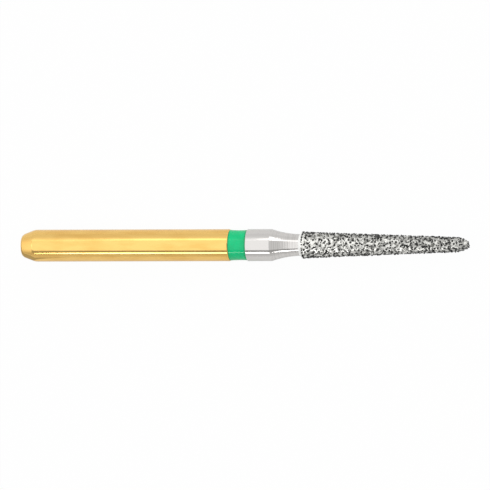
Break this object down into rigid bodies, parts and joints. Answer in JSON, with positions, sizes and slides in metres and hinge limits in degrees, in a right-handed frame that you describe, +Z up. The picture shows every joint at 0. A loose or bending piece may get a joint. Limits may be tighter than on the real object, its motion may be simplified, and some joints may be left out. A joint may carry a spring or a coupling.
{
  "type": "dental bur",
  "caption": "Dental diamond bur: gold-plated friction-grip shank with a green colour ring, bare steel neck and a long tapered head coated with coarse diamond grit",
  "frame": {"origin": "centre of the shank's flat end face, on the bur's axis", "axes": "+X along the bur's axis from the shank's end to the tip, +Z up, as the bur lies level on a table"},
  "size_m": [0.0229, 0.0016, 0.0016],
  "materials": {
    "steel": "polished",
    "gold": "polished",
    "green_lacquer": "gloss",
    "nickel": "polished",
    "diamond": "gloss"
  },
  "bodies": {
    "root": {"steel_blank": "steel", "gold_plating": "gold", "colour_ring": "green_lacquer", "nickel_bond": "nickel", "diamond_grit": "diamond"}
  },
  "joints": []
}
